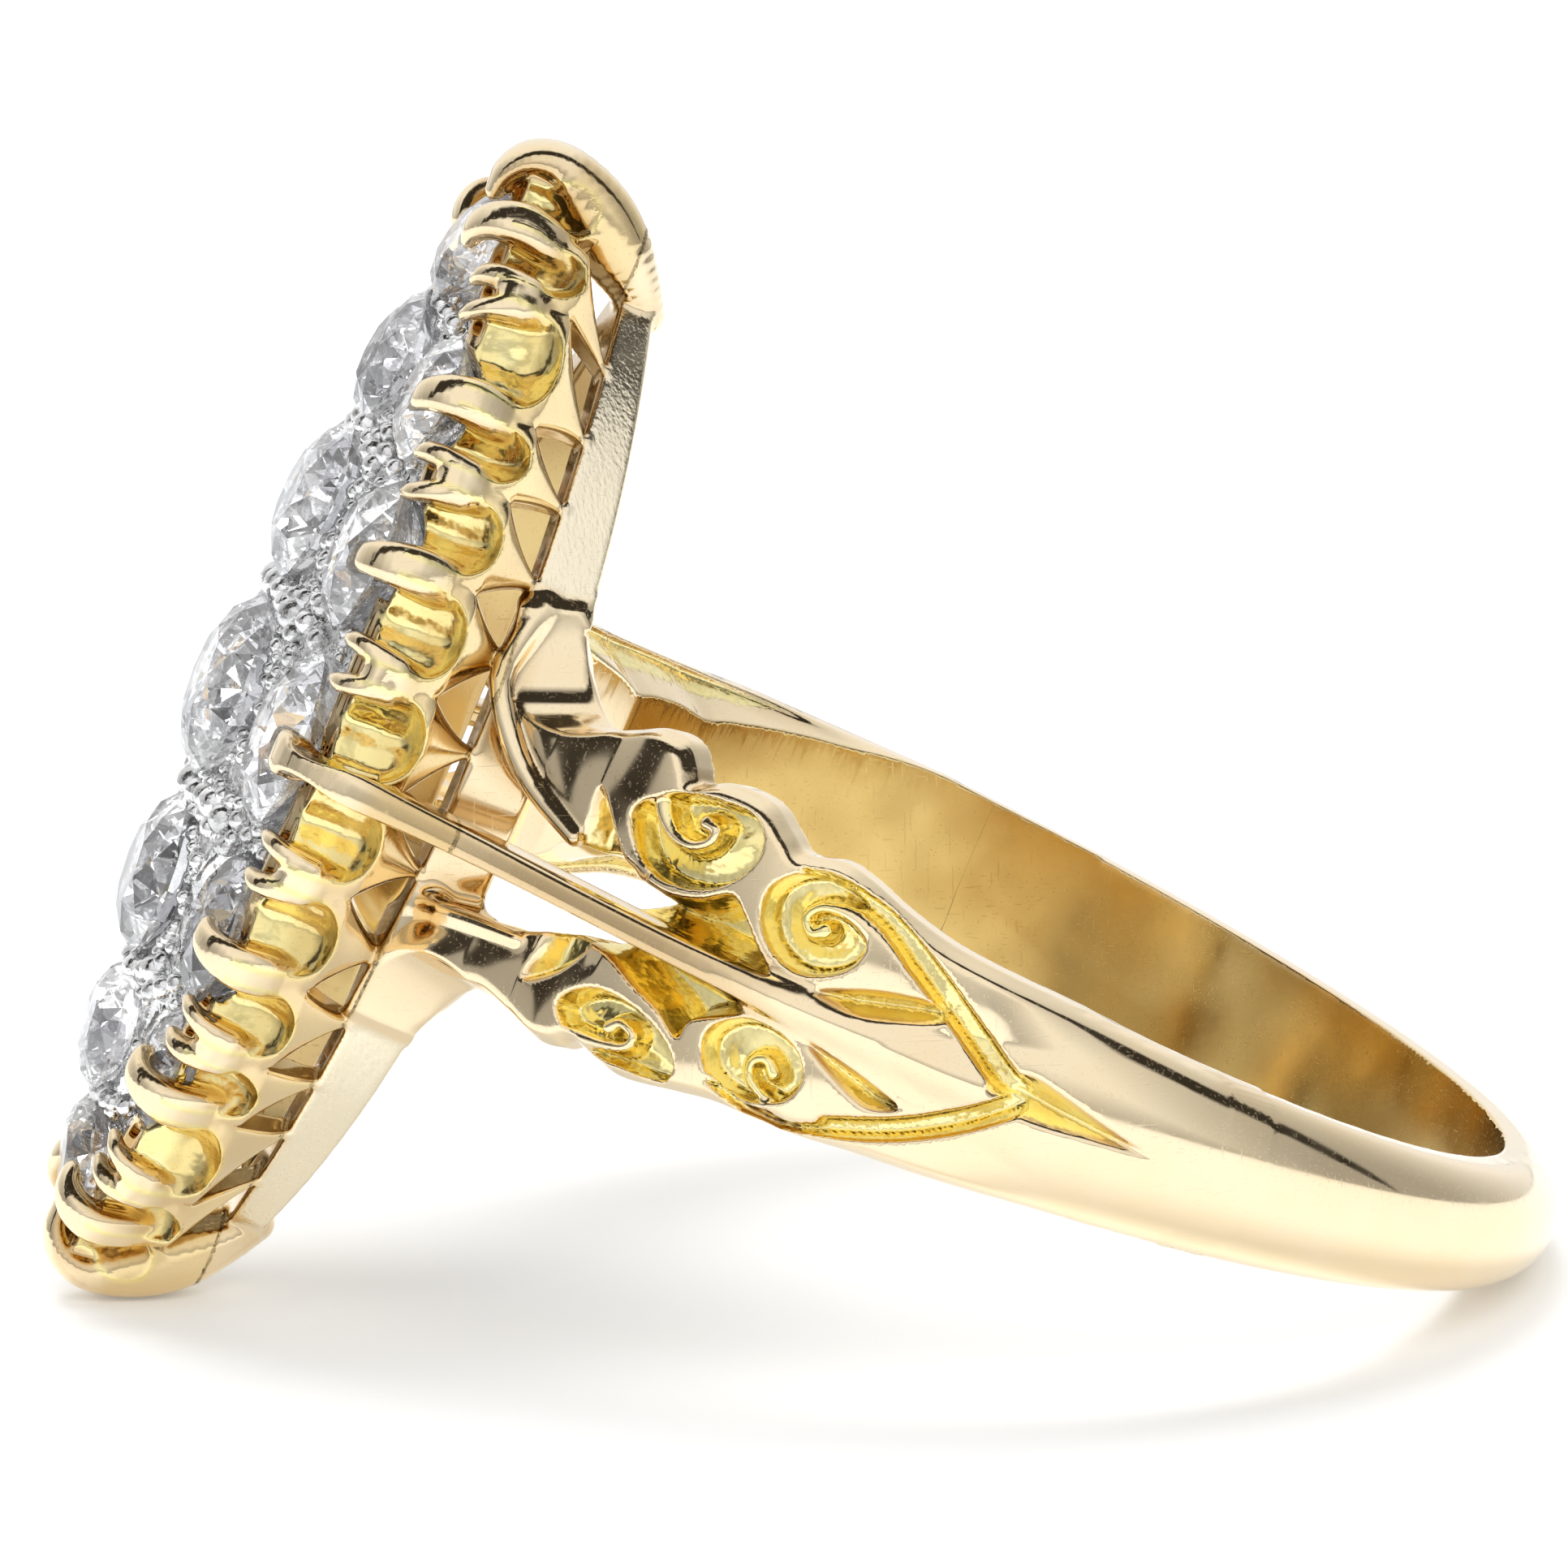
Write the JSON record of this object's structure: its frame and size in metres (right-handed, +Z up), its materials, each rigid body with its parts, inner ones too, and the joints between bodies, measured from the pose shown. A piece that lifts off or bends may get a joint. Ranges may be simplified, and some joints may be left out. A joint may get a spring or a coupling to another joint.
{
  "type": "navette cluster ring",
  "caption": "Finger ring with a pointed-oval cluster of old-cut diamonds in silver on a claw-set gold gallery, scroll-carved split shoulders and a plain D-section band, lying on its side.",
  "frame": {"origin": "under the middle of the ring's box, on the floor it lies on", "axes": "+X from the head to the back of the band, +Z up, finger axis leaning from +Z toward +X"},
  "size_m": [0.0248, 0.02, 0.0189],
  "materials": {
    "gold": "polished yellow gold, matt in the carved recesses",
    "silver": "rough old silver with raised grains",
    "diamond": "old-cut facets"
  },
  "bodies": {
    "root": {"gold_mount": "gold", "silver_setting": "silver", "stone_mid_1": "diamond", "stone_mid_2": "diamond", "stone_mid_3": "diamond", "stone_mid_4": "diamond", "stone_mid_5": "diamond", "stone_tip_1": "diamond", "stone_tip_2": "diamond", "stone_near_1": "diamond", "stone_near_2": "diamond", "stone_near_3": "diamond", "stone_near_4": "diamond", "stone_near_5": "diamond", "stone_far_1": "diamond", "stone_far_2": "diamond", "stone_far_3": "diamond", "stone_far_4": "diamond", "stone_far_5": "diamond"}
  },
  "joints": []
}
